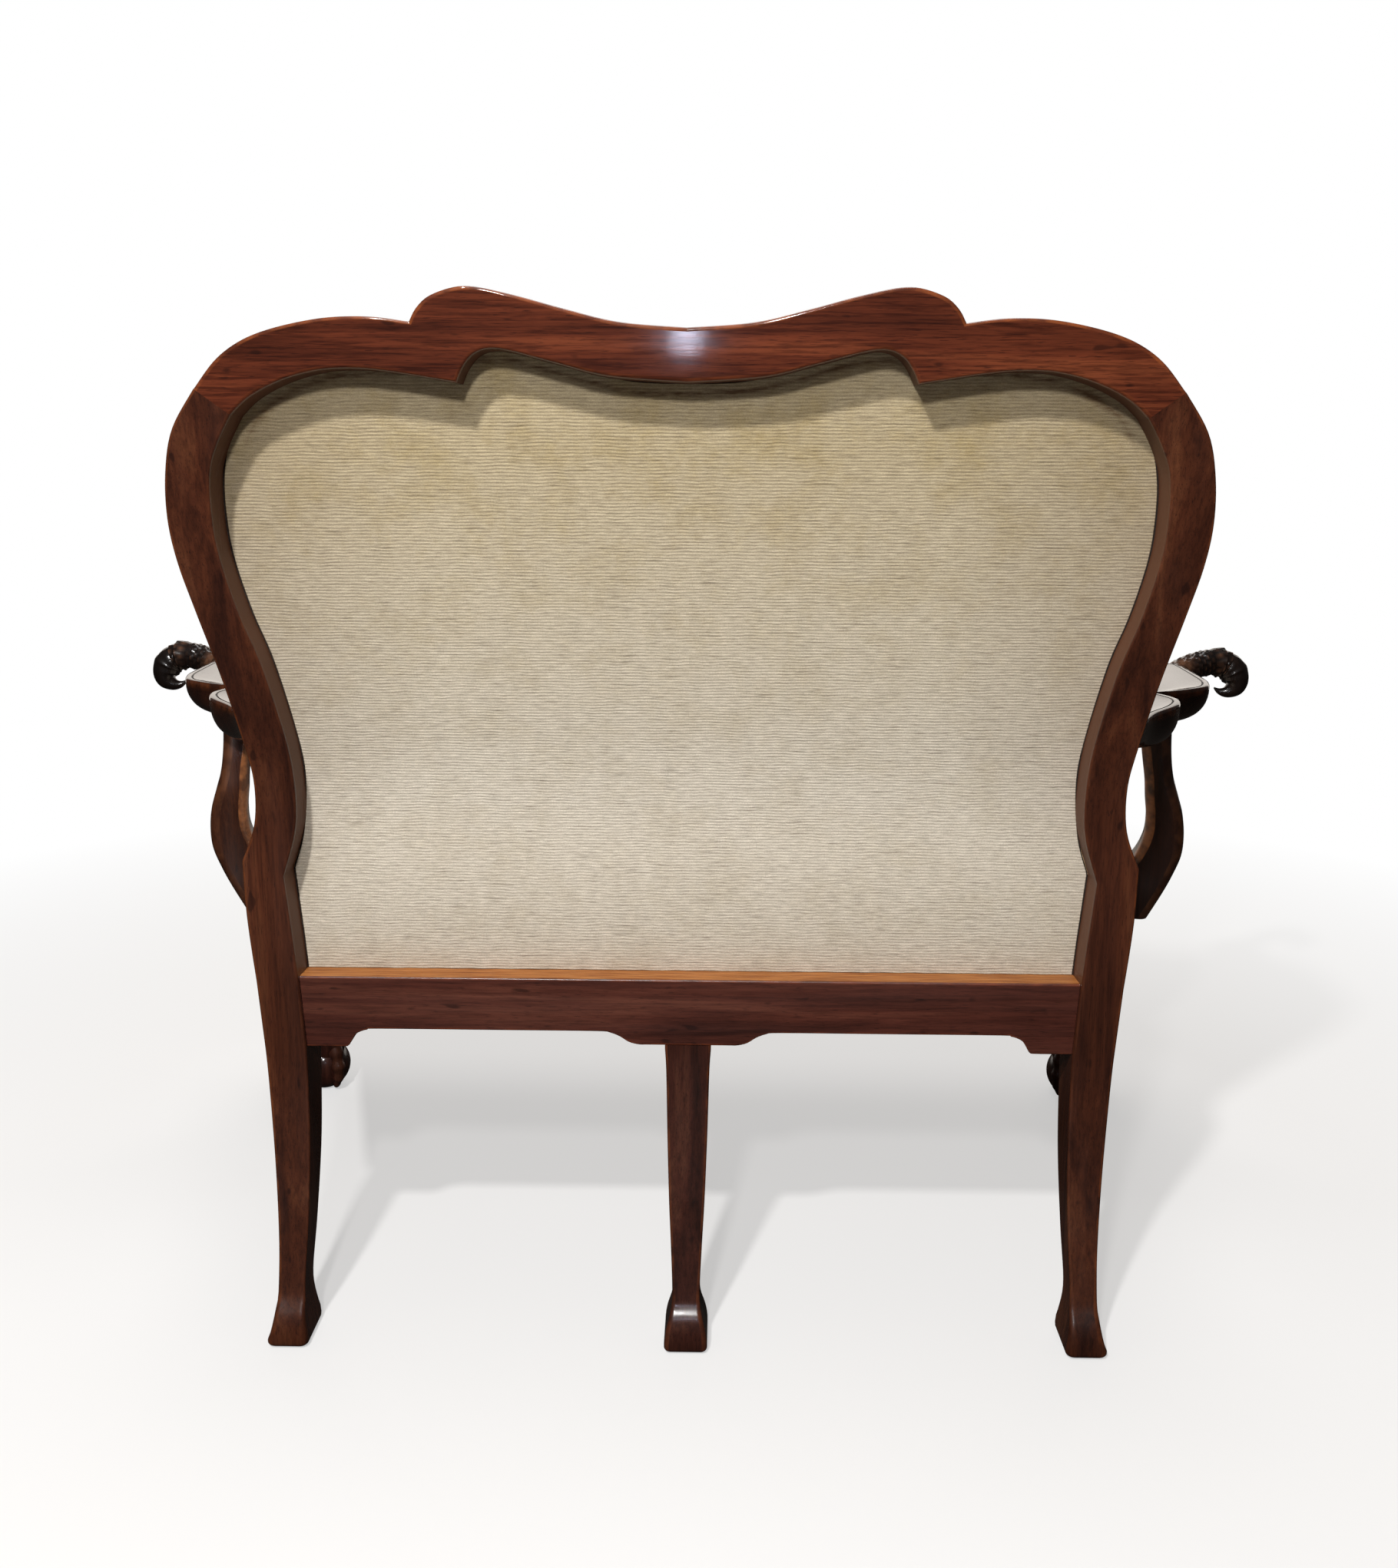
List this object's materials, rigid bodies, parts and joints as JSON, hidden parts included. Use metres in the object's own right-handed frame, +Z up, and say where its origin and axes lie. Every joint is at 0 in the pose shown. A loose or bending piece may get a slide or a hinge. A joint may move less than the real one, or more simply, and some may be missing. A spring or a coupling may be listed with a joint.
{
  "type": "show-wood settee",
  "caption": "Show-wood settee: raked double-humped back, padded back panel, lift-out seat, arms ending in carved eagle heads, ball-and-claw front feet and raked rear legs.",
  "frame": {"origin": "centre of the bounding box in plan, at the floor", "axes": "+X is the sitter's left, +Y points to the back, +Z is up; the sitter faces -Y"},
  "size_m": [1.434, 0.7322, 1.05],
  "materials": {
    "mahogany": "reddish-brown mahogany, French polished to a gloss",
    "crest_mahogany": "redder mahogany with lengthwise grain, French polished to a gloss",
    "beech": "planed beech, unfinished",
    "cover_cloth": "cream chenille with a fine rib across",
    "back_cloth": "cream chenille with a fine rib across, darker towards the top",
    "gimp": "woven cream braid",
    "jute": "woven jute",
    "bottom_cloth": "black cotton",
    "steel": "plain steel"
  },
  "bodies": {
    "frame": {"crest_rail": "crest_mahogany", "rear_leg_left": "mahogany", "rear_leg_right": "mahogany", "rear_seat_rail": "mahogany", "centre_rear_leg": "mahogany", "side_rail_left": "mahogany", "side_rail_right": "mahogany", "front_seat_rail": "mahogany", "front_leg_left": "mahogany", "front_leg_right": "mahogany", "knee_bracket_front_left": "mahogany", "knee_bracket_front_right": "mahogany", "knee_bracket_side_left": "mahogany", "knee_bracket_side_right": "mahogany", "arm_left": "mahogany", "arm_right": "mahogany", "arm_support_left": "mahogany", "arm_support_right": "mahogany", "corner_block_front_left": "beech", "corner_block_front_right": "beech", "corner_block_rear_left": "beech", "corner_block_rear_right": "beech", "seat_bearer": "beech", "rear_seat_ledge": "beech", "back_frame_top_bar": "beech", "back_frame_bottom_bar": "beech", "back_frame_left_bar": "beech", "back_frame_right_bar": "beech", "back_frame_middle_bar": "beech", "outside_back_cover": "back_cloth", "back_webbing": "jute", "back_hessian": "jute", "back_cushion": "cover_cloth", "back_gimp": "gimp", "crest_dowels": "beech", "arm_dowels": "beech", "support_dowels": "beech", "support_screws": "steel", "block_screws": "steel", "ledge_screws": "steel"},
    "drop_in_seat": {"seat_frame_front_bar": "beech", "seat_frame_rear_bar": "beech", "seat_frame_left_bar": "beech", "seat_frame_right_bar": "beech", "seat_frame_middle_bar": "beech", "seat_webbing": "jute", "seat_hessian": "jute", "seat_cushion": "cover_cloth", "seat_bottom_cloth": "bottom_cloth"}
  },
  "joints": [
    {"name": "seat_lift", "type": "slide", "parent": "frame", "child": "drop_in_seat", "axis": [0, 0, 1], "range_m": [0, 0.1]}
  ]
}
